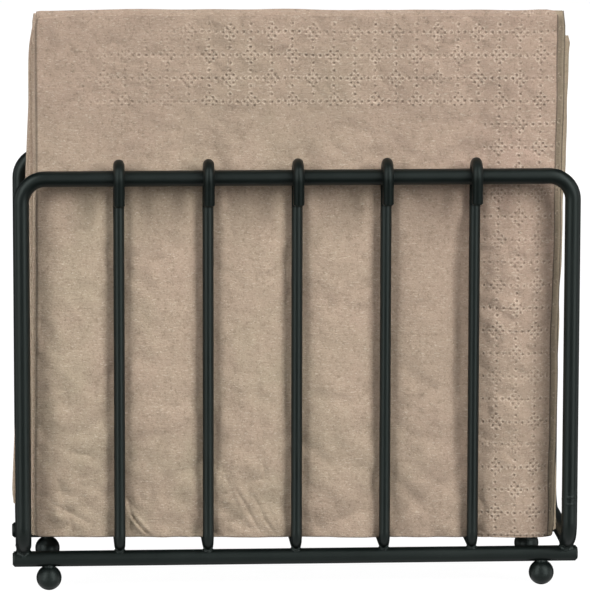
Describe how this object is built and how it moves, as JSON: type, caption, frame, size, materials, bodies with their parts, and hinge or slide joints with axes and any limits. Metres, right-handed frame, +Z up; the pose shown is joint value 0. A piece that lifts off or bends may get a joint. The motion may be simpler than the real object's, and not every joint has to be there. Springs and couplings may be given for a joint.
{
  "type": "napkin dispenser",
  "caption": "Open tabletop dispenser of welded wire: a tall slim cage with hooked upright ribs on ball feet, holding folded paper napkins that are pulled out at the top.",
  "frame": {"origin": "on the table, under the middle of the dispenser", "axes": "+Z up, +X to the right as seen from the front, +Y from the front face to the back face"},
  "size_m": [0.18, 0.0702, 0.1845],
  "materials": {
    "black_wire": "satin",
    "napkin_paper": "matte"
  },
  "bodies": {
    "holder": {"perimeter_wire": "black_wire", "loop_butt_weld": "black_wire", "base_bar_front": "black_wire", "base_bar_rear": "black_wire", "rib_wire_1": "black_wire", "rib_wire_2": "black_wire", "rib_wire_3": "black_wire", "rib_wire_4": "black_wire", "rib_wire_5": "black_wire", "rib_welds": "black_wire", "frame_welds": "black_wire", "foot_front_left": "black_wire", "foot_front_right": "black_wire", "foot_rear_left": "black_wire", "foot_rear_right": "black_wire", "foot_collars": "black_wire"},
    "napkin_01": {"napkin_01": "napkin_paper"},
    "napkin_02": {"napkin_02": "napkin_paper"},
    "napkin_03": {"napkin_03": "napkin_paper"},
    "napkin_04": {"napkin_04": "napkin_paper"},
    "napkin_05": {"napkin_05": "napkin_paper"},
    "napkin_06": {"napkin_06": "napkin_paper"},
    "napkin_07": {"napkin_07": "napkin_paper"},
    "napkin_08": {"napkin_08": "napkin_paper"},
    "napkin_09": {"napkin_09": "napkin_paper"},
    "napkin_10": {"napkin_10": "napkin_paper"},
    "napkin_11": {"napkin_11": "napkin_paper"},
    "napkin_12": {"napkin_12": "napkin_paper"},
    "napkin_13": {"napkin_13": "napkin_paper"},
    "napkin_14": {"napkin_14": "napkin_paper"},
    "napkin_15": {"napkin_15": "napkin_paper"},
    "napkin_16": {"napkin_16": "napkin_paper"}
  },
  "joints": [
    {"name": "napkin_01_lift", "type": "slide", "parent": "holder", "child": "napkin_01", "axis": [0, 0, 1], "range_m": [0, 0.13]},
    {"name": "napkin_02_lift", "type": "slide", "parent": "holder", "child": "napkin_02", "axis": [0, 0, 1], "range_m": [0, 0.13]},
    {"name": "napkin_03_lift", "type": "slide", "parent": "holder", "child": "napkin_03", "axis": [0, 0, 1], "range_m": [0, 0.13]},
    {"name": "napkin_04_lift", "type": "slide", "parent": "holder", "child": "napkin_04", "axis": [0, 0, 1], "range_m": [0, 0.13]},
    {"name": "napkin_05_lift", "type": "slide", "parent": "holder", "child": "napkin_05", "axis": [0, 0, 1], "range_m": [0, 0.13]},
    {"name": "napkin_06_lift", "type": "slide", "parent": "holder", "child": "napkin_06", "axis": [0, 0, 1], "range_m": [0, 0.13]},
    {"name": "napkin_07_lift", "type": "slide", "parent": "holder", "child": "napkin_07", "axis": [0, 0, 1], "range_m": [0, 0.13]},
    {"name": "napkin_08_lift", "type": "slide", "parent": "holder", "child": "napkin_08", "axis": [0, 0, 1], "range_m": [0, 0.13]},
    {"name": "napkin_09_lift", "type": "slide", "parent": "holder", "child": "napkin_09", "axis": [0, 0, 1], "range_m": [0, 0.13]},
    {"name": "napkin_10_lift", "type": "slide", "parent": "holder", "child": "napkin_10", "axis": [0, 0, 1], "range_m": [0, 0.13]},
    {"name": "napkin_11_lift", "type": "slide", "parent": "holder", "child": "napkin_11", "axis": [0, 0, 1], "range_m": [0, 0.13]},
    {"name": "napkin_12_lift", "type": "slide", "parent": "holder", "child": "napkin_12", "axis": [0, 0, 1], "range_m": [0, 0.13]},
    {"name": "napkin_13_lift", "type": "slide", "parent": "holder", "child": "napkin_13", "axis": [0, 0, 1], "range_m": [0, 0.13]},
    {"name": "napkin_14_lift", "type": "slide", "parent": "holder", "child": "napkin_14", "axis": [0, 0, 1], "range_m": [0, 0.13]},
    {"name": "napkin_15_lift", "type": "slide", "parent": "holder", "child": "napkin_15", "axis": [0, 0, 1], "range_m": [0, 0.13]},
    {"name": "napkin_16_lift", "type": "slide", "parent": "holder", "child": "napkin_16", "axis": [0, 0, 1], "range_m": [0, 0.13]}
  ]
}
